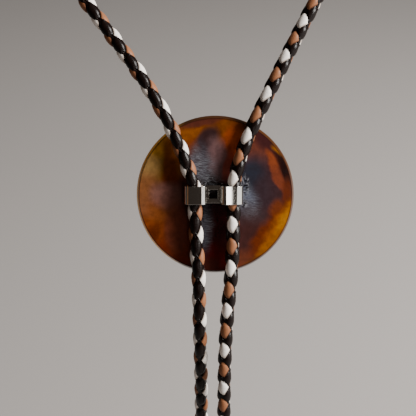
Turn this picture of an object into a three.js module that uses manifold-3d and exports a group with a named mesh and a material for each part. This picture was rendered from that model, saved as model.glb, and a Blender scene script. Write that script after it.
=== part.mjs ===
// A bolo tie: a round resin slide with a bent metal clip on its back, hanging on a braided
// leather cord that goes round the neck, whose two ends hang below the slide in metal tips.
// The slide is turned over, so that its clip faces forward (-Y) and its face the wearer (+Y).
// Millimetres, +Z up. The origin is where the cord bears on the back of the neck.
import * as THREE from 'three';
import { mergeVertices } from 'three/addons/utils/BufferGeometryUtils.js';
import Module from 'manifold-3d';

const wasm = await Module();
wasm.setup();

// The gap that neighbouring pieces keep
const pieceGap = 0.3;

// The slide's place: the middle of the clip's seat on the disc, and how far the disc leans back
const slidePlace = new THREE.Vector3(6, -122.3, -136.55);
const slideLean = THREE.MathUtils.degToRad(25);

// The resin disc
const discDiameter = 48.4;
const discThickness = 5;
const discBackRound = 0.8;
const discFaceRound = 2.6;
const discOffsetX = 0.75;
const discOffsetZ = -0.15;
const discSides = 72;
const discRoundSteps = 4;

// The braided cord, as round as its braid is wide
const cordDiameter = 4;
const cordSides = 10;
const neckCordSteps = 64;
const cordEndSteps = 9;

// The clip, one bent strip: a pad on the disc between two channels rolled round the cord
const stripThickness = 0.5;
const clipLength = 5.55;
const padWidth = 4.8;
const padHoleSide = 2.7;
const channelSideRoom = 0.75;
const channelTopRoom = 0.3;
const rollRadius = 2;
const rollSteps = 6;
const rollMouth = 0.5;

// The tips on the cord's two ends, each a hollow ferrule with a solid point
const tipLength = 36;
const tipWall = 0.45;
const tipClearance = 0.3;
const tipSocketDepth = 6;
const tipPointRadius = 1.7;
const tipLipLength = 1.6;
const tipLipHeight = 0.25;
const tipSides = 24;
const tipPointSteps = 4;

// The cord's way from the left channel up the chest, round the neck and down to the right channel
const neckRoute = [
  [0.25, -125.2, -135.6], [-0.05, -124.0, -133.0], [-2.5, -120.9, -126.1], [-8.1, -115.3, -114.5],
  [-15.4, -109.3, -103.9], [-22.9, -103.7, -94.9], [-33.1, -96.6, -83.3], [-47.5, -85.5, -66.5],
  [-58.5, -70.0, -46.5], [-61.3, -48.5, -26.5], [-49.5, -21.5, -11.0], [-25.0, -3.0, -2.3],
  [0.0, 2.0, 0.0],
  [25.0, -3.0, -2.3], [49.5, -21.5, -11.0], [60.3, -48.5, -26.5], [56.8, -70.0, -47.0],
  [47.5, -85.5, -66.5], [36.8, -96.9, -83.8], [28.6, -105.2, -97.3], [23.2, -110.8, -106.7],
  [17.7, -116.3, -116.8], [13.6, -121.1, -126.6], [12.2, -124.0, -133.0], [12.1, -125.2, -135.6],
];

// The ways of the two free ends, from inside the channels down into the tips
const leftEndRoute = [
  [0.2, -125.4, -136.0], [0.3, -126.5, -138.3], [0.5, -129.0, -143.8], [0.8, -131.7, -149.6],
  [1.3, -134.9, -156.6], [1.6, -139.0, -167.0], [1.8, -141.0, -177.0], [2.0, -141.7, -188.5],
  [2.1, -141.3, -201.0], [2.1, -140.6, -211.0], [2.1, -140.0, -219.5],
];
const rightEndRoute = [
  [12.1, -125.4, -136.0], [12.2, -126.5, -138.3], [12.1, -129.2, -144.3], [11.9, -132.2, -150.8],
  [11.5, -135.3, -157.6], [10.7, -138.7, -166.0], [10.0, -141.6, -175.5], [9.6, -144.3, -187.5],
  [9.5, -146.2, -200.0], [9.5, -147.2, -211.0], [9.5, -147.9, -219.5],
];

const resin = new THREE.MeshStandardMaterial({ color: '#3d160c', roughness: 0.18, metalness: 0 });
const nickel = new THREE.MeshStandardMaterial({ color: '#b9b4ab', roughness: 0.16, metalness: 1 });
const leather = new THREE.MeshStandardMaterial({ color: '#3a2a26', roughness: 0.5, metalness: 0 });

const cordRadius = cordDiameter / 2;
const channelWidth = cordDiameter + 2 * channelSideRoom;
const channelHeight = cordDiameter + 2 * channelTopRoom;
const humpWidth = channelWidth + 2 * stripThickness;
const humpHeight = channelHeight + 2 * stripThickness;

// A closed geometry as a solid that can be cut, and back again
function toSolid(geometry) {
  const bare = geometry.clone();
  bare.deleteAttribute('normal');
  bare.deleteAttribute('uv');
  const merged = mergeVertices(bare);
  return new wasm.Manifold(new wasm.Mesh({
    numProp: 3,
    vertProperties: new Float32Array(merged.attributes.position.array),
    triVerts: new Uint32Array(merged.index.array),
  }));
}

function toGeometry(solid) {
  const mesh = solid.getMesh();
  const geometry = new THREE.BufferGeometry();
  geometry.setAttribute('position', new THREE.BufferAttribute(mesh.vertProperties, 3));
  geometry.setIndex(new THREE.BufferAttribute(mesh.triVerts, 1));
  geometry.computeVertexNormals();
  return geometry;
}

function namedMesh(name, geometry, material) {
  const mesh = new THREE.Mesh(geometry, material);
  mesh.name = name;
  return mesh;
}

// The points of a quarter round about a middle, from one angle to another
function quarterRound(x, y, radius, startAngle, endAngle, steps) {
  const clockwise = endAngle < startAngle;
  return new THREE.EllipseCurve(x, y, radius, radius, startAngle, endAngle, clockwise).getPoints(steps);
}

// The disc, turned about the line through its middle, with its flat back at y = 0
function makeDisc() {
  const radius = discDiameter / 2;
  const profile = [
    new THREE.Vector2(0, 0),
    ...quarterRound(radius - discBackRound, discBackRound, discBackRound, -Math.PI / 2, 0, discRoundSteps),
    ...quarterRound(radius - discFaceRound, discThickness - discFaceRound, discFaceRound, 0, Math.PI / 2,
      discRoundSteps),
    new THREE.Vector2(0, discThickness),
  ];
  const disc = namedMesh('slide_disc', new THREE.LatheGeometry(profile, discSides), resin);
  disc.position.set(discOffsetX, 0, discOffsetZ);
  return disc;
}

// Half of the strip's middle line, from the pad's middle under the cord, round it and back to the pad
function halfStripLine() {
  const seat = stripThickness / 2;
  const crown = humpHeight - stripThickness / 2;
  const inner = padWidth / 2 + stripThickness / 2;
  const outer = padWidth / 2 + humpWidth - stripThickness / 2;
  return [
    new THREE.Vector2(0, seat),
    ...quarterRound(outer - rollRadius, seat + rollRadius, rollRadius, -Math.PI / 2, 0, rollSteps),
    ...quarterRound(outer - rollRadius, crown - rollRadius, rollRadius, 0, Math.PI / 2, rollSteps),
    ...quarterRound(inner + rollRadius, crown - rollRadius, rollRadius, Math.PI / 2, Math.PI, rollSteps),
    new THREE.Vector2(inner, stripThickness + rollMouth),
  ];
}

// One side of the strip: its middle line moved square to itself by half its thickness
function sideOfStrip(line, distance) {
  return line.map((point, i) => {
    const before = line[Math.max(i - 1, 0)];
    const after = line[Math.min(i + 1, line.length - 1)];
    const along = after.clone().sub(before).normalize();
    return new THREE.Vector2(point.x + along.y * distance, point.y - along.x * distance);
  });
}

function makeClip() {
  const right = halfStripLine();
  const left = right.slice(1).reverse().map((point) => new THREE.Vector2(-point.x, point.y));
  const line = [...left, ...right];
  const outline = [
    ...sideOfStrip(line, stripThickness / 2),
    ...sideOfStrip(line, -stripThickness / 2).reverse(),
  ];
  const strip = new THREE.ExtrudeGeometry(new THREE.Shape(outline), { depth: clipLength, bevelEnabled: false });
  strip.translate(0, pieceGap, -clipLength / 2);
  strip.rotateX(Math.PI);
  const hole = new THREE.BoxGeometry(padHoleSide, stripThickness * 4, padHoleSide);
  return namedMesh('slide_clip', toGeometry(toSolid(strip).subtract(toSolid(hole))), nickel);
}

function curveThrough(route) {
  return new THREE.CatmullRomCurve3(route.map((point) => new THREE.Vector3(...point)));
}

function makeCord(name, route, steps) {
  const section = new THREE.Shape(new THREE.EllipseCurve(0, 0, cordRadius, cordRadius)
    .getPoints(cordSides).slice(0, cordSides));
  const geometry = new THREE.ExtrudeGeometry(section, { steps, extrudePath: curveThrough(route) });
  return namedMesh(name, geometry, leather);
}

// A tip, turned about its own length, with its mouth up at y = 0 and its point down
function tipGeometry() {
  const socketRadius = cordRadius + tipClearance;
  const barrelRadius = socketRadius + tipWall;
  const lipRadius = barrelRadius + tipLipHeight;
  const profile = [
    ...quarterRound(0, tipPointRadius - tipLength, tipPointRadius, -Math.PI / 2, 0, tipPointSteps),
    new THREE.Vector2(barrelRadius, -tipSocketDepth),
    new THREE.Vector2(barrelRadius, -tipLipLength),
    new THREE.Vector2(lipRadius, -tipLipLength * 0.75),
    new THREE.Vector2(lipRadius, -tipLipLength * 0.25),
    new THREE.Vector2(barrelRadius, 0),
    new THREE.Vector2(socketRadius, 0),
    new THREE.Vector2(socketRadius, -tipSocketDepth),
    new THREE.Vector2(0, -tipSocketDepth),
  ];
  profile[0].x = 0;
  return new THREE.LatheGeometry(profile, tipSides);
}

// The cord ends inside the tip, a small gap above the floor of its socket
function makeTip(name, route) {
  const curve = curveThrough(route);
  const end = curve.getPointAt(1);
  const down = end.clone().sub(curve.getPointAt(1 - 1 / cordEndSteps)).normalize();
  const tip = namedMesh(name, tipGeometry(), nickel);
  tip.quaternion.setFromUnitVectors(new THREE.Vector3(0, -1, 0), down);
  tip.position.copy(end).addScaledVector(down, pieceGap - tipSocketDepth);
  return tip;
}

const slide = new THREE.Group();
slide.position.copy(slidePlace);
slide.rotation.x = -slideLean;
slide.add(makeDisc(), makeClip());

const boloTie = new THREE.Group();
boloTie.add(
  slide,
  makeCord('neck_cord', neckRoute, neckCordSteps),
  makeCord('cord_end_left', leftEndRoute, cordEndSteps),
  makeCord('cord_end_right', rightEndRoute, cordEndSteps),
  makeTip('tip_left', leftEndRoute),
  makeTip('tip_right', rightEndRoute),
);

export default boloTie;
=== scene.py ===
import math

import bmesh
import bpy
from mathutils import Matrix, Vector
from numpy import interp


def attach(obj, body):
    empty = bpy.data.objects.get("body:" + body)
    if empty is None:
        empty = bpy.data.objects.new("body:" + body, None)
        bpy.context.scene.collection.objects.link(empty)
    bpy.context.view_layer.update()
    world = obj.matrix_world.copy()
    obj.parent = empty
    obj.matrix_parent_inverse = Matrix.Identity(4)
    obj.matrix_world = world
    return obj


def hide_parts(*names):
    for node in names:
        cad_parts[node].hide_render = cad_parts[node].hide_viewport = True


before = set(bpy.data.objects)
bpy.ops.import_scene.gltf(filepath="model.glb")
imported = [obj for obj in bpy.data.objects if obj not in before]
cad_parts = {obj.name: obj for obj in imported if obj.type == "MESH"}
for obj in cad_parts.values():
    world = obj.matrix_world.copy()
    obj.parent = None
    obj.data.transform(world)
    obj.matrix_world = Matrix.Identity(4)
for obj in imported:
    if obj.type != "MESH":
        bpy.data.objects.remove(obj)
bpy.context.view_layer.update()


# The camera looks at the slide's back from a little above square to it. Its distance is a guess
# from how the cords shrink below the slide, and its view is as wide as the photograph's.
view_rise = math.radians(31)
view_distance = 0.28
photo_pixels = 416
pixel_size = 0.00031
clip_place = Vector((0.006, -0.1225, -0.137))
clip_in_photo = Vector((213.4, 195.6))

view_up = Vector((0, math.sin(view_rise), math.cos(view_rise)))
view_back = Vector((0, -math.cos(view_rise), math.sin(view_rise)))
from_clip = (Vector((photo_pixels / 2, photo_pixels / 2)) - clip_in_photo) * pixel_size
aim = clip_place + Vector((from_clip.x, 0, 0)) - view_up * from_clip.y

camera_data = bpy.data.cameras.new("camera")
camera_data.sensor_fit = "HORIZONTAL"
camera_data.angle = 2 * math.atan(photo_pixels * pixel_size / 2 / view_distance)
camera_data.clip_start = 0.01
camera = bpy.data.objects.new("camera", camera_data)
camera.location = aim + view_back * view_distance
camera.rotation_euler = (math.pi / 2 - view_rise, 0, 0)
bpy.context.scene.collection.objects.link(camera)
bpy.context.scene.camera = camera


# The cord: a round braid of four flat leather laces, two dark brown ones that wind one way and
# a white and a tan one that wind the other way. It goes from the left channel round the neck
# and back through the right one.
neck_route = [Vector(point) / 1000 for point in (
    (0.25, -125.2, -135.6), (-0.05, -124.0, -133.0), (-2.5, -120.9, -126.1), (-8.1, -115.3, -114.5),
    (-15.4, -109.3, -103.9), (-22.9, -103.7, -94.9), (-33.1, -96.6, -83.3), (-47.5, -85.5, -66.5),
    (-58.5, -70.0, -46.5), (-61.3, -48.5, -26.5), (-49.5, -21.5, -11.0), (-25.0, -3.0, -2.3),
    (0.0, 2.0, 0.0),
    (25.0, -3.0, -2.3), (49.5, -21.5, -11.0), (60.3, -48.5, -26.5), (56.8, -70.0, -47.0),
    (47.5, -85.5, -66.5), (36.8, -96.9, -83.8), (28.6, -105.2, -97.3), (23.2, -110.8, -106.7),
    (17.7, -116.3, -116.8), (13.6, -121.1, -126.6), (12.2, -124.0, -133.0), (12.1, -125.2, -135.6),
)]
way_steps = 40
braid_pitch = 0.0132
dark_width = 0.0041
light_width = 0.0035
lace_thickness = 0.0008
lace_flatness = 0.6
# How far a lace's edges bend back round the cord, and how far its middle is from the cord's
lace_bow = 0.00095
lace_depth = 0.00145
# How far a lace waves in and out as it crosses the others, how soft these waves are, and how
# much less it turns round the cord where it lies on top
lace_weave = 0.00045
weave_softness = 0.5
lace_slowing = 0.12
lace_sides = 14
lace_steps = 32
weld_distance = 1e-6

dark_leather, white_leather, tan_leather = range(3)
# Each lace's leather and width, the way it winds and the angle it starts from, in turns
laces = (
    (dark_leather, dark_width, -1, 0.0), (dark_leather, dark_width, -1, 0.5),
    (white_leather, light_width, 1, 0.0), (tan_leather, light_width, 1, 0.5),
)


class Way:
    """A smooth curve through a route's points, with a direction square to it carried along"""

    def __init__(self, route, front):
        ends = [2 * route[0] - route[1], *route, 2 * route[-1] - route[-2]]
        self.points = []
        for before, start, stop, after in zip(ends, ends[1:], ends[2:], ends[3:]):
            gaps = (start - before, stop - start, after - stop)
            lead, span, tail = (gap.length ** 0.5 for gap in gaps)
            leaving = ((start - before) / lead - (stop - before) / (lead + span)) * span + stop - start
            arriving = ((after - stop) / tail - (after - start) / (span + tail)) * span + stop - start
            for step in range(way_steps):
                share = step / way_steps
                self.points.append(
                    start * (2 * share ** 3 - 3 * share ** 2 + 1)
                    + leaving * (share ** 3 - 2 * share ** 2 + share)
                    + stop * (3 * share ** 2 - 2 * share ** 3)
                    + arriving * (share ** 3 - share ** 2))
        self.points.append(route[-1].copy())
        moves = [after - before for before, after in zip(self.points, self.points[1:])]
        self.lengths = [0.0]
        for move in moves:
            self.lengths.append(self.lengths[-1] + move.length)
        self.length = self.lengths[-1]
        self.ahead = [move.normalized() for move in moves]
        self.ahead.append(self.ahead[-1])
        self.fronts = []
        for direction in self.ahead:
            front = (front - direction * front.dot(direction)).normalized()
            self.fronts.append(front)

    def at(self, distance):
        """The place at a distance along the way, and two directions square to it"""
        place = interp(distance, self.lengths, range(len(self.lengths)))
        i = min(int(place), len(self.points) - 2)
        share = place - i
        point = self.points[i].lerp(self.points[i + 1], share)
        ahead = self.ahead[i].lerp(self.ahead[i + 1], share).normalized()
        front = self.fronts[i].lerp(self.fronts[i + 1], share)
        front = (front - ahead * front.dot(ahead)).normalized()
        return point, front, ahead.cross(front)


def lace_place(turn, way_round, start):
    """Where a lace's section lies in a straight braid, turns along it, and how it is turned"""
    def middle(turn):
        angle = 2 * math.pi * (way_round * turn + start)
        swing = math.cos(2 * angle)
        angle += way_round * lace_slowing * math.sin(2 * angle)
        swing *= math.sqrt((1 + weave_softness ** 2) / (swing ** 2 + weave_softness ** 2))
        depth = lace_depth - way_round * lace_weave * swing
        return Vector((depth * math.cos(angle), depth * math.sin(angle), turn * braid_pitch)), angle

    point, angle = middle(turn)
    nearby = 0.001
    ahead = (middle(turn + nearby)[0] - middle(turn - nearby)[0]).normalized()
    out = Vector((math.cos(angle), math.sin(angle), 0))
    out = (out - ahead * out.dot(ahead)).normalized()
    turned = Matrix((out.cross(ahead), out, ahead)).transposed().to_4x4()
    return Matrix.Translation(point) @ turned


def as_object(shape, name):
    """A scene object with the shape as its mesh"""
    mesh = bpy.data.meshes.new(name)
    shape.to_mesh(mesh)
    shape.free()
    made = bpy.data.objects.new(name, mesh)
    bpy.context.scene.collection.objects.link(made)
    return made


def verts_among(geometry):
    """The vertices in a list of a mesh's elements"""
    return [element for element in geometry if isinstance(element, bmesh.types.BMVert)]


def sweep_lace(shape, across, material, width, way_round, start):
    """Adds one pitch of a lace to a shape, and keeps each point's share of its width in across"""
    section = bmesh.ops.create_circle(shape, segments=lace_sides, radius=1)["verts"]
    for vert in section:
        x, y = vert.co.xy
        vert[across] = 0.5 + 0.5 * x
        y = math.copysign(abs(y) ** lace_flatness, y) * lace_thickness / 2
        vert.co = (x * width / 2, y - lace_bow * (x * width / dark_width) ** 2, 0)
    place = lace_place(0, way_round, start)
    bmesh.ops.transform(shape, matrix=place, verts=section)
    edges = list(dict.fromkeys(edge for vert in section for edge in vert.link_edges))
    for step in range(lace_steps):
        new = bmesh.ops.extrude_edge_only(shape, edges=edges)["geom"]
        edges = [made for made in new if isinstance(made, bmesh.types.BMEdge) and made.is_boundary]
        after = lace_place((step + 1) / lace_steps, way_round, start)
        bmesh.ops.transform(shape, matrix=after @ place.inverted(), verts=verts_among(new))
        place = after
    for face in shape.faces:
        if not face.tag:
            face.material_index = material
            face.tag = True


def braid_piece(name, way, laid, turned):
    """The braid along a way. laid gives its pitches, and turned its turns, at millimetres along it"""
    shape = bmesh.new()
    across = shape.verts.layers.float.new("across")
    for lace in laces:
        sweep_lace(shape, across, *lace)
    first_pitch, last_pitch = laid[0][1], laid[-1][1]
    original = shape.verts[:] + shape.edges[:] + shape.faces[:]
    for pitch in range(math.floor(first_pitch), math.ceil(last_pitch)):
        copied = bmesh.ops.duplicate(shape, geom=original)["geom"]
        bmesh.ops.translate(shape, vec=(0, 0, pitch * braid_pitch), verts=verts_among(copied))
    bmesh.ops.delete(shape, geom=verts_among(original), context="VERTS")
    bmesh.ops.remove_doubles(shape, verts=shape.verts, dist=weld_distance)
    for pitch, side in ((first_pitch, -1), (last_pitch, 1)):
        bmesh.ops.bisect_plane(shape, geom=shape.verts[:] + shape.edges[:] + shape.faces[:],
                               plane_co=(0, 0, pitch * braid_pitch), plane_no=(0, 0, side),
                               clear_outer=True)
    bmesh.ops.holes_fill(shape, edges=[edge for edge in shape.edges if edge.is_boundary])
    bmesh.ops.recalc_face_normals(shape, faces=shape.faces)

    distances, pitches = zip(*laid)
    turn_distances, turns = zip(*turned)
    lace_map = shape.loops.layers.uv.new("lace")
    for face in shape.faces:
        face.smooth = len(face.verts) == 4
        for loop in face.loops:
            loop[lace_map].uv = (loop.vert[across], loop.vert.co.z / light_width)
    for vert in shape.verts:
        distance = interp(vert.co.z / braid_pitch, pitches, distances)
        point, front, side = way.at(distance / 1000)
        turn = 2 * math.pi * interp(distance, turn_distances, turns)
        spread = Matrix.Rotation(turn, 2) @ vert.co.xy
        vert.co = point + front * spread.x + side * spread.y
    return as_object(shape, name)


class Shade:
    """A node's output in a material's tree. Sums and products of it add Math nodes."""

    def __init__(self, tree, socket=None):
        self.tree = tree
        self.socket = socket

    def node(self, kind, values=None, output=0, **settings):
        """A new node's output. Its settings come first, then its inputs' numbers or Shades"""
        node = self.tree.nodes.new(kind)
        for name, value in settings.items():
            setattr(node, name, value)
        for name, value in (values or {}).items():
            if isinstance(value, Shade):
                self.tree.links.new(value.socket, node.inputs[name])
            else:
                node.inputs[name].default_value = value
        return Shade(self.tree, node.outputs[output] if node.outputs else None)

    def math(self, operation, *values):
        """A Math node's output"""
        return self.node("ShaderNodeMath", dict(enumerate(values)), operation=operation)

    def __add__(self, other):
        return self.math("ADD", self, other)

    def __sub__(self, other):
        return self.math("SUBTRACT", self, other)

    def __rsub__(self, other):
        return self.math("SUBTRACT", other, self)

    def __mul__(self, other):
        return self.math("MULTIPLY", self, other)

    __radd__ = __add__
    __rmul__ = __mul__

    def noise(self, scale, detail, output=0, **others):
        """Noise at this place"""
        values = {"Vector": self, "Scale": scale, "Detail": detail, **others}
        return self.node("ShaderNodeTexNoise", values, output)

    def rise(self, low, high, most=1.0):
        """Goes smoothly from 0 to most while this goes from low to high"""
        values = {0: self, 1: low, 2: high, 4: most}
        return self.node("ShaderNodeMapRange", values, interpolation_type="SMOOTHSTEP")

    def over(self, under, colour):
        """A colour with this share of another one over it. Each is a Shade or a plain colour"""
        under, colour = (tone if isinstance(tone, Shade) else (*tone, 1) for tone in (under, colour))
        return self.node("ShaderNodeMix", {0: self, 6: under, 7: colour}, 2, data_type="RGBA")


def new_material(name):
    """A material with an empty tree, and its first Shade to add nodes from"""
    material = bpy.data.materials.new(name)
    material.use_nodes = True
    material.node_tree.nodes.clear()
    return material, Shade(material.node_tree)


def finish_material(shade, **values):
    """Adds the shader, with its inputs by their names with underscores for spaces"""
    values = {name.replace("_", " "): value for name, value in values.items()}
    surface = shade.node("ShaderNodeBsdfPrincipled", values)
    shade.node("ShaderNodeOutputMaterial", {"Surface": surface})


def leather(name, face, edge, roughness, sheen):
    """Smooth dyed lace: its cut edges are darker, with painted shade where they meet the grooves between
    laces, and its grain runs across it in fine creases
    """
    material, shade = new_material(name)
    lace = shade.node("ShaderNodeUVMap", uv_map="lace")
    grain = shade.node("ShaderNodeMapping", {"Vector": lace, "Scale": (3, 9, 1)}).noise(1.4, 6.0)
    blotch = shade.node("ShaderNodeTexCoord", output="Object").noise(260.0, 3.0)
    across = shade.node("ShaderNodeSeparateXYZ", {0: lace})
    # Darker cut edges, which also paint the shade in the grooves between laces
    cut_edge_and_shade = shade.math("ABSOLUTE", across * 2 - 1).rise(0.8, 1.0)
    darker = [0.45 * part for part in face]
    colour = (0.85 * cut_edge_and_shade).over((0.30 * blotch).over(face, darker), edge)
    bump = shade.node("ShaderNodeBump", {"Strength": 0.25, "Distance": 0.0002, "Height": grain})
    finish_material(shade, Base_Color=colour, Roughness=roughness + 0.16 * grain, Normal=bump,
                    Specular_IOR_Level=sheen)
    return material


# In the order of the names dark_leather, white_leather and tan_leather
cord_leathers = [
    leather("dark_brown_leather", (0.0055, 0.0027, 0.0022), (0.002, 0.001, 0.001), 0.20, 0.13),
    leather("white_leather", (0.78, 0.72, 0.67), (0.26, 0.20, 0.16), 0.36, 0.18),
    leather("tan_leather", (0.23, 0.092, 0.042), (0.07, 0.026, 0.013), 0.38, 0.14),
]


def dress(piece, *materials):
    """Gives a piece its materials, in the order that its faces number them"""
    for material in materials:
        piece.data.materials.append(material)


neck_way = Way(neck_route, view_back)
# The braid's pitches at millimetres along the cord, as the photograph shows them on both sides
# above the slide, and its turns round the cord, which bring the right side's pattern into place
neck_laid = (
    (0.0, 0.10), (5.3, 0.5), (24.8, 2), (32.4, 2.5), (64.5, 5), (421.7, 32.25), (433.4, 33.25),
    (446.0, 34.25), (460.1, 35.25), (473.5, 36.25), (neck_way.length * 1000, 36.64),
)
neck_turned = ((0, 0), (75, 0), (400, -0.153), (480, -0.153))
neck_cord = braid_piece("braided_neck_cord", neck_way, neck_laid, neck_turned)
dress(neck_cord, *cord_leathers)
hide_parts("neck_cord")
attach(neck_cord, "root")


# The slide's disc: a flat cake of polished tortoiseshell resin, turned with its back to the
# camera. Its rim is round along the face and eased along the back.
slide_place = Vector((0.006, -0.1223, -0.13655))
slide_lean = math.radians(25)
lean = Matrix.Rotation(-slide_lean, 4, "X")
slide_frame = Matrix.Translation(slide_place) @ lean
disc_middle = slide_frame @ Vector((0.0006, 0, -0.0004))
disc_radius = 0.0246
disc_thickness = 0.005
back_radius = 0.0238
wall_radius = 0.0244
back_easing = 0.0011
face_round = 0.0026
round_steps = 12
disc_sides = 160
sharp_angle = math.radians(40)


def turned_shape(profile, axis, steps):
    """A profile of points turned about an axis through the origin, smooth but for its sharp edges"""
    shape = bmesh.new()
    points = [shape.verts.new(point) for point in profile]
    lines = [shape.edges.new(pair) for pair in zip(points, points[1:])]
    bmesh.ops.spin(shape, geom=points + lines, cent=(0, 0, 0), axis=axis, angle=2 * math.pi,
                   steps=steps, use_merge=True)
    bmesh.ops.remove_doubles(shape, verts=shape.verts, dist=weld_distance)
    bmesh.ops.recalc_face_normals(shape, faces=shape.faces)
    for face in shape.faces:
        face.smooth = True
    for edge in shape.edges:
        edge.smooth = edge.calc_face_angle(0) < sharp_angle
    return shape


disc_profile = [(share * back_radius, 0, 0) for share in (0, 0.5, 0.97, 1)]
disc_profile.append((wall_radius, back_easing, 0))
for step in range(round_steps + 1):
    angle = math.pi / 2 * step / round_steps
    disc_profile.append((disc_radius - face_round + face_round * math.cos(angle),
                         disc_thickness - face_round + face_round * math.sin(angle), 0))
disc_profile += [(0.5 * disc_radius, disc_thickness, 0), (0, disc_thickness, 0)]
disc_shape = turned_shape(disc_profile, (0, 1, 0), disc_sides)
bmesh.ops.transform(disc_shape, verts=disc_shape.verts, matrix=Matrix.Translation(disc_middle) @ lean)
disc = as_object(disc_shape, "resin_disc")

# The tortoiseshell's clouds, each with its middle and half sizes in disc radii, its tilt in
# degrees, its strength and its colour. Some of them are painted light, shadow and sheen,
# as marked below.
shell_clouds_and_painted_light = (
    (-0.55, -0.62, 0.60, 0.45, 0, 0.95, (0.125, 0.015, 0.0012)),
    (-0.80, -0.36, 0.32, 0.26, 20, 1.0, (0.160, 0.030, 0.0002)),
    (-0.80, 0.45, 0.36, 0.50, -25, 1.0, (0.215, 0.100, 0.006)),
    (-0.84, 0.36, 0.17, 0.22, 0, 0.85, (0.290, 0.165, 0.055)),
    (-0.84, 0.00, 0.30, 0.30, 0, 0.9, (0.175, 0.060, 0.022)),
    (-0.68, -0.18, 0.18, 0.14, 0, 0.8, (0.190, 0.052, 0.012)),
    # Painted light, brightening the resin where the left cord's shadow falls
    (-0.70, 0.68, 0.20, 0.18, 45, 0.9, (0.560, 0.240, 0.008)),
    # A dark band left of the left cord: partly the resin's own, partly painted shadow of the cord
    (-0.57, 0.34, 0.11, 0.46, 0, 0.8, (0.100, 0.010, 0.002)),
    (-0.60, 0.00, 0.22, 0.18, 0, 0.75, (0.175, 0.078, 0.066)),
    (-0.50, -0.40, 0.16, 0.40, 0, 0.8, (0.130, 0.034, 0.018)),
    (-0.84, -0.54, 0.10, 0.22, -35, 0.8, (0.060, 0.010, 0.002)),
    (-0.36, 0.68, 0.30, 0.26, 35, 1.0, (0.150, 0.040, 0.002)),
    (-0.36, 0.46, 0.12, 0.20, 0, 0.9, (0.100, 0.022, 0.004)),
    (0.16, 0.84, 0.36, 0.26, -15, 1.0, (0.160, 0.040, 0.0008)),
    # Painted light, brightening the resin where the right cord's shadow falls
    (0.22, 0.62, 0.15, 0.26, -10, 0.9, (0.480, 0.075, 0.003)),
    (-0.09, 0.71, 0.13, 0.22, -35, 1.0, (0.024, 0.011, 0.011)),
    (-0.16, 0.93, 0.34, 0.07, 12, 0.9, (0.060, 0.015, 0.010)),
    (-0.28, 0.58, 0.10, 0.14, 20, 0.8, (0.105, 0.021, 0.003)),
    # Blue-grey painted sheen
    (-0.16, 0.38, 0.20, 0.28, 10, 0.95, (0.030, 0.026, 0.033)),
    # These two: painted light where the right cord's shadow falls
    (0.06, 0.42, 0.15, 0.32, 10, 0.9, (0.150, 0.080, 0.082)),
    (0.17, 0.38, 0.07, 0.26, -10, 0.8, (0.190, 0.026, 0.010)),
    # Near-black painted shade round the clip
    (0.00, -0.05, 0.42, 0.30, 0, 1.0, (0.002, 0.001, 0.001)),
    # Blue-grey painted sheen
    (-0.10, -0.52, 0.14, 0.45, 0, 1.0, (0.022, 0.018, 0.024)),
    # Painted shadow of the right cord, below the clip
    (0.06, -0.52, 0.13, 0.45, 0, 1.0, (0.026, 0.002, 0.003)),
    (0.06, -0.84, 0.22, 0.24, 0, 0.9, (0.085, 0.002, 0.0008)),
    (-0.12, -0.92, 0.18, 0.12, 0, 0.9, (0.055, 0.012, 0.008)),
    (0.50, 0.52, 0.20, 0.22, 0, 0.9, (0.095, 0.026, 0.016)),
    (0.66, 0.68, 0.26, 0.14, -40, 0.9, (0.032, 0.009, 0.010)),
    # These two: blue-grey painted sheen
    (0.46, 0.14, 0.28, 0.38, 5, 1.0, (0.015, 0.016, 0.024)),
    (0.40, -0.08, 0.14, 0.20, 0, 0.9, (0.050, 0.056, 0.080)),
    (0.48, -0.34, 0.24, 0.30, 30, 0.9, (0.033, 0.022, 0.025)),
    (0.70, 0.04, 0.20, 0.30, 0, 0.8, (0.028, 0.015, 0.018)),
    (0.92, 0.34, 0.15, 0.32, 20, 1.0, (0.009, 0.003, 0.003)),
    (0.70, 0.42, 0.055, 0.17, 22, 1.0, (0.158, 0.033, 0.011)),
    (0.81, 0.18, 0.055, 0.24, 28, 0.95, (0.130, 0.028, 0.012)),
    (0.93, -0.04, 0.09, 0.26, 5, 1.0, (0.075, 0.014, 0.005)),
    (0.82, 0.54, 0.14, 0.055, -40, 1.0, (0.200, 0.068, 0.005)),
    (0.44, -0.60, 0.34, 0.30, 30, 1.0, (0.034, 0.012, 0.011)),
    (0.78, -0.18, 0.10, 0.14, 10, 0.8, (0.120, 0.024, 0.005)),
    (0.36, -0.84, 0.20, 0.14, 20, 0.9, (0.095, 0.025, 0.012)),
    (0.68, -0.48, 0.14, 0.36, -38, 0.9, (0.095, 0.016, 0.002)),
    # These three: amber clouds along the lower right rim, brightened with painted light shining through
    # the resin
    (0.83, -0.38, 0.12, 0.42, -32, 1.0, (0.190, 0.050, 0.001)),
    (0.85, -0.37, 0.075, 0.28, -24, 1.0, (0.270, 0.096, 0.0005)),
    (0.72, -0.60, 0.08, 0.32, -45, 1.0, (0.190, 0.056, 0.001)),
    (0.50, -0.84, 0.20, 0.07, 28, 0.9, (0.080, 0.024, 0.005)),
)
# Where the back is scuffed grey, with a painted sheen over it, with strengths, and where glue
# has wrinkled beside the clip
scuffed_sheen_patches = (
    (-0.16, 0.32, 0.18, 0.28, 15, 1.0), (0.42, -0.08, 0.15, 0.24, 10, 0.42),
    (-0.10, -0.40, 0.09, 0.30, 0, 0.7),
)
glue_patches = ((-0.08, 0.16, 0.17, 0.08, 10), (0.36, 0.13, 0.07, 0.14, 0), (0.35, -0.10, 0.05, 0.06, 0))
resin_colour = (0.045, 0.009, 0.004)
mottle_colour = (0.012, 0.004, 0.003)
# Grey of the scuffs, partly painted sheen
scuff_and_sheen_colour = (0.26, 0.27, 0.31)
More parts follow.
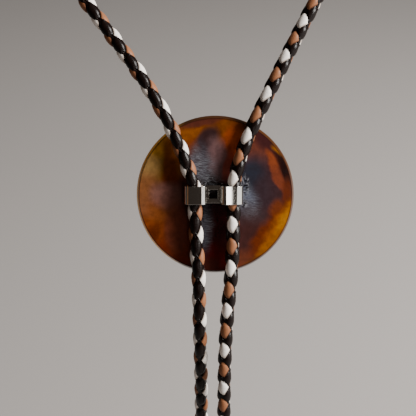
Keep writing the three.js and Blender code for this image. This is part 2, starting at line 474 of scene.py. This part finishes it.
# Painted highlight on the glue's crests, and painted shade in its hollows
painted_glue_highlight_colour = (0.17, 0.17, 0.19)
painted_glue_shade_colour = (0.003, 0.002, 0.002)
rim_line_colour = (0.020, 0.006, 0.004)
rim_colour = (0.050, 0.018, 0.006)
# Painted light, shining through the lip on the disc's left side
painted_rim_light_colour = (1.0, 0.46, 0.06)
# How far the clouds' outlines wander, in disc radii, how far past its half sizes a cloud or
# patch fades, and how far it reaches into the resin, in disc radii
wander = 0.16
fade = 1.3
patch_depth = 4

resin, shade = new_material("tortoiseshell_resin")
flat = shade.node("ShaderNodeMapping", {
    "Vector": shade.node("ShaderNodeTexCoord", output="Object"), "Location": disc_middle,
    "Rotation": (-slide_lean, 0, 0), "Scale": (disc_radius,) * 3}, vector_type="TEXTURE")
ripple = flat.noise(3.2, 5.0, "Color")
moved = shade.node("ShaderNodeVectorMath", {0: ripple, 1: (wander, 0, wander), 2: flat},
                   operation="MULTIPLY_ADD")
rippled = shade.node("ShaderNodeVectorMath", {0: moved, 1: (wander / 2, 0, wander / 2)},
                     operation="SUBTRACT")


def patch(where, x, z, half_width, half_height, tilt, strength=1.0):
    """How far a place lies inside a soft-edged ellipse on the disc"""
    ellipse = shade.node("ShaderNodeMapping", {
        "Vector": where, "Location": (x, 0, z), "Rotation": (0, -math.radians(tilt), 0),
        "Scale": (half_width * fade, patch_depth, half_height * fade)}, vector_type="TEXTURE")
    near = shade.node("ShaderNodeTexGradient", {"Vector": ellipse}, 1, gradient_type="SPHERICAL")
    return near.rise(0.0, 0.6, strength)


colour = resin_colour
for *ellipse, strength, cloud_and_painted_light_colour in shell_clouds_and_painted_light:
    colour = patch(rippled, *ellipse, strength).over(colour, cloud_and_painted_light_colour)
mottle = flat.noise(13.0, 8.0, Roughness=0.65).rise(0.62, 0.36)
colour = (0.28 * mottle).over(colour, mottle_colour)

strokes_way = shade.node("ShaderNodeMapping", {
    "Vector": rippled, "Rotation": (0, math.radians(40), 0), "Scale": (14, 1, 90)})
strokes = strokes_way.noise(1.0, 6.0, Roughness=0.7)
depth = shade.node("ShaderNodeSeparateXYZ", {0: flat}, "Y")
on_back = shade.node("ShaderNodeMapRange", {0: depth, 1: 0.06, 2: 0.02})
# Scuffs, with a painted sheen over them
scuff_and_sheen = sum(patch(rippled, *ellipse) for ellipse in scuffed_sheen_patches) * on_back
colour = (0.80 * scuff_and_sheen * strokes.rise(0.40, 0.78)).over(colour, scuff_and_sheen_colour)
wrinkles = flat.noise(13.0, 3.0, Distortion=2.5)
glue = sum(patch(flat, *ellipse) for ellipse in glue_patches) * on_back
# The glue's wrinkles: painted shade in their hollows, painted highlights on their crests
colour = (0.95 * glue * wrinkles.rise(0.50, 0.38)).over(colour, painted_glue_shade_colour)
colour = (0.6 * glue * wrinkles.rise(0.52, 0.66)).over(colour, painted_glue_highlight_colour)

across = shade.node("ShaderNodeVectorMath", {0: flat, 1: (1, 0, 1)}, operation="MULTIPLY")
radius = shade.node("ShaderNodeVectorMath", {0: across}, "Value", operation="LENGTH")
# The lip's left side gets painted light, as if lit through the resin
painted_light_side = shade.node("ShaderNodeSeparateXYZ", {0: flat}).rise(-0.35, -0.80)
rim = radius.rise(0.968, 0.974)
colour = (0.75 * radius.rise(0.950, 0.962)).over(colour, rim_line_colour)
colour = rim.over(colour, rim_colour)
colour = (rim * painted_light_side).over(colour, painted_rim_light_colour)
height = (0.06 + 0.22 * scuff_and_sheen) * strokes + 1.5 * glue * wrinkles
bump = shade.node("ShaderNodeBump", {"Strength": 0.3, "Distance": 0.00015, "Height": height})
finish_material(shade, Base_Color=colour, Roughness=0.07 + 0.28 * scuff_and_sheen * strokes, Normal=bump,
                Specular_IOR_Level=0.35)
dress(disc, resin)
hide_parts("slide_disc")
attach(disc, "root")


# The clip: one strip of nickel-plated sheet, bent back over both cords. Its two ends stop just
# above the pad between them, which has a square hole.
nickel_colour = (0.74, 0.72, 0.68)
tarnish_colour = (0.50, 0.46, 0.40)


def plated(name):
    """Bright nickel plate, with fine rubbing marks and a little tarnish"""
    material, shade = new_material(name)
    place = shade.node("ShaderNodeTexCoord", output="Object")
    marks = shade.node("ShaderNodeMapping", {"Vector": place, "Scale": (300, 300, 2500)}).noise(1.0, 4.0)
    colour = (0.35 * place.noise(420.0, 2.0)).over(nickel_colour, tarnish_colour)
    waves = place.noise(150.0, 0.0)
    bump = shade.node("ShaderNodeBump", {"Strength": 0.3, "Distance": 0.00003, "Height": waves})
    finish_material(shade, Base_Color=colour, Metallic=1.0, Roughness=0.08 + 0.02 * marks, Normal=bump)
    return material


nickel = plated("nickel_plate")
strip_thickness = 0.0005
strip_easing = 0.00007
clip_length = 0.00555
hole_side = 0.0027
pad_height = -0.00055
bend_steps = 12
# The strip's corners across the cords, as distances to the right and out from the disc, each
# with the radius that it is bent to
strip_corners = (
    (-0.0025, -0.0013, 0), (-0.0025, -0.0057, 0.0011), (-0.0087, -0.0056, 0.0021),
    (-0.0087, pad_height, 0.0020), (0.0089, pad_height, 0.0020), (0.0089, -0.0052, 0.0025),
    (0.0024, -0.0061, 0.0014), (0.0024, -0.0013, 0),
)
places = [Vector(corner[:2]) for corner in strip_corners]
strip_line = [places[0]]
for before, corner, after, (_, _, bend) in zip(places, places[1:], places[2:], strip_corners[1:]):
    back, on = (before - corner).normalized(), (after - corner).normalized()
    half = back.angle(on) / 2
    middle = corner + (back + on).normalized() * bend / math.sin(half)
    first = corner + back * bend / math.tan(half) - middle
    last = corner + on * bend / math.tan(half) - middle
    strip_line += [middle + bend * first.slerp(last, step / bend_steps) for step in range(bend_steps + 1)]
strip_line.append(places[-1])
pad = len(strip_line) // 2
strip_line[pad:pad] = [Vector((-hole_side / 2, pad_height)), Vector((hole_side / 2, pad_height))]
clip_shape = bmesh.new()
levels = (-clip_length / 2, -hole_side / 2, hole_side / 2, clip_length / 2)
rows = [[clip_shape.verts.new((*point, level)) for point in strip_line] for level in levels]
for level, (row, above) in enumerate(zip(rows, rows[1:])):
    for i in range(len(strip_line) - 1):
        if (level, i) != (1, pad):
            clip_shape.faces.new((row[i], row[i + 1], above[i + 1], above[i]))
bmesh.ops.recalc_face_normals(clip_shape, faces=clip_shape.faces)
for face in clip_shape.faces:
    face.smooth = True
bmesh.ops.transform(clip_shape, matrix=slide_frame, verts=clip_shape.verts)
clip = as_object(clip_shape, "spring_clip")
sheet = clip.modifiers.new("sheet", "SOLIDIFY")
sheet.thickness = strip_thickness
sheet.offset = 0
eased = clip.modifiers.new("eased_edges", "BEVEL")
eased.width = strip_easing
eased.segments = 2
eased.limit_method = "ANGLE"
eased.angle_limit = math.radians(50)
eased.harden_normals = True
dress(clip, nickel)
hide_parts("slide_clip")
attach(clip, "root")


# The tips: plain nickel-plated ferrules, each a hollow barrel that narrows to a round point,
# with a rolled lip at its mouth. They are closed on the ends of the cord.
end_routes = {
    "left": [Vector(point) / 1000 for point in (
        (0.2, -125.4, -136.0), (0.3, -126.5, -138.3), (0.5, -129.0, -143.8), (0.8, -131.7, -149.6),
        (1.3, -134.9, -156.6), (1.6, -139.0, -167.0), (1.8, -141.0, -177.0), (2.0, -141.7, -188.5),
        (2.1, -141.3, -201.0), (2.1, -140.6, -211.0), (2.1, -140.0, -219.5),
    )],
    "right": [Vector(point) / 1000 for point in (
        (12.1, -125.4, -136.0), (12.2, -126.5, -138.3), (12.1, -129.2, -144.3), (11.9, -132.2, -150.8),
        (11.5, -135.3, -157.6), (10.7, -138.7, -166.0), (10.0, -141.6, -175.5), (9.6, -144.3, -187.5),
        (9.5, -146.2, -200.0), (9.5, -147.2, -211.0), (9.5, -147.9, -219.5),
    )],
}
end_ways = {side: Way(route, view_back) for side, route in end_routes.items()}
tip_length = 0.036
tip_point_radius = 0.0017
tip_barrel_radius = 0.00275
mouth_easing = 0.00015
socket_radius = 0.0023
socket_easing = 0.0001
socket_depth = 0.006
socket_floor_gap = 0.0003
lip_low, lip_high, lip_bulge = -0.0016, -0.0003, 0.00025
# A tip lies in line with the last of this many steps of its cord's end
cord_end_steps = 9
tip_round_steps = 12
tip_sides = 64

tip_profile = []
for step in range(tip_round_steps + 1):
    angle = math.pi / 2 * step / tip_round_steps
    tip_profile.append((tip_point_radius * math.sin(angle), 0,
                        tip_point_radius * (1 - math.cos(angle)) - tip_length))
tip_profile.append((tip_barrel_radius, 0, -socket_depth))
for step in range(tip_round_steps + 1):
    share = step / tip_round_steps
    tip_profile.append((tip_barrel_radius + lip_bulge * math.sin(math.pi * share), 0,
                        lip_low + (lip_high - lip_low) * share))
tip_profile += [
    (tip_barrel_radius - mouth_easing, 0, 0), (socket_radius + socket_easing, 0, 0),
    (socket_radius, 0, -2 * socket_easing), (socket_radius, 0, -socket_depth), (0, 0, -socket_depth),
]
tips = {}
for side, way in end_ways.items():
    tip_shape = turned_shape(tip_profile, (0, 0, 1), tip_sides)
    cord_end = way.points[-1]
    down = (cord_end - way.at(way.length * (cord_end_steps - 1) / cord_end_steps)[0]).normalized()
    tip_place = Matrix.Translation(cord_end + down * (socket_floor_gap - socket_depth))
    tip_turn = (-down).to_track_quat("Z", "Y").to_matrix().to_4x4()
    bmesh.ops.transform(tip_shape, verts=tip_shape.verts, matrix=tip_place @ tip_turn)
    tips[side] = as_object(tip_shape, f"ferrule_{side}")
    dress(tips[side], nickel)
    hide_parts(f"tip_{side}")
    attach(tips[side], "root")


# The free ends: the same braid, hanging from the channels down into the tips. Each has its
# pitches at millimetres along it, and its turn round the cord.
ends_laid = {
    "left": ((0.0, -0.07), (1.05, 0), (14.9, 1), (28.6, 2), (41.9, 3), (56.1, 4), (69.9, 5), (86.7, 6.2)),
    "right": ((0.0, -0.36), (1.4, -0.25), (14.9, 0.75), (28.6, 1.75), (41.6, 2.75), (55.1, 3.75),
              (68.4, 4.75), (87.4, 6.17)),
}
ends_turned = {"left": 0.025, "right": -0.194}
for side, way in end_ways.items():
    turn = ends_turned[side]
    piece = braid_piece(f"braided_end_{side}", way, ends_laid[side], [(0, turn)])
    dress(piece, *cord_leathers)
    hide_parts(f"cord_end_{side}")
    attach(piece, "root")


# The floor and the lights: a plain pale floor under a soft key light from the right, and weaker
# panels, which the clip and the resin reflect
floor_level = -0.31
floor_half_side = 3
floor_colour = (0.29, 0.27, 0.258, 1)
world_colour = (0.86, 0.68, 0.57, 1)
world_strength = 0.045
# Each panel's degrees round to the right of the front, its degrees up and its distance from the
# clip, which it faces, its width and height, its power and its colour
panels = {
    "key_light": (77, 34, 0.9, 0.40, 0.50, 30, (1.0, 0.98, 0.95)),
    "window_light": (14, 19, 0.7, 0.10, 0.20, 0.36, (1.0, 0.97, 0.93)),
    "right_light": (68, 2, 0.5, 0.72, 0.28, 1.1, (1.0, 0.99, 0.96)),
    "back_light": (183, 50, 1.1, 0.80, 0.50, 2.5, (1.0, 0.98, 0.95)),
    "left_light": (-66, 5, 0.9, 0.20, 0.40, 0.05, (1.0, 0.42, 0.14)),
}

floor_shape = bmesh.new()
bmesh.ops.create_grid(floor_shape, x_segments=1, y_segments=1, size=floor_half_side,
                      matrix=Matrix.Translation((0, 0, floor_level)))
floor = as_object(floor_shape, "floor")
floor_paint, shade = new_material("floor_paint")
finish_material(shade, Base_Color=floor_colour, Roughness=0.8)
dress(floor, floor_paint)

for name, (around, rise, distance, width, height, power, light_colour) in panels.items():
    data = bpy.data.lights.new(name, "AREA")
    data.shape = "RECTANGLE"
    data.size = width
    data.size_y = height
    data.energy = power
    data.color = light_colour
    around, rise = math.radians(around), math.radians(rise)
    towards = Vector((math.sin(around) * math.cos(rise), -math.cos(around) * math.cos(rise),
                      math.sin(rise)))
    light = bpy.data.objects.new(name, data)
    light.location = clip_place + towards * distance
    light.rotation_euler = towards.to_track_quat("Z", "Y").to_euler()
    bpy.context.scene.collection.objects.link(light)

world = bpy.data.worlds.new("studio")
world.use_nodes = True
background = world.node_tree.nodes["Background"].inputs
background["Color"].default_value = world_colour
background["Strength"].default_value = world_strength
bpy.context.scene.world = world
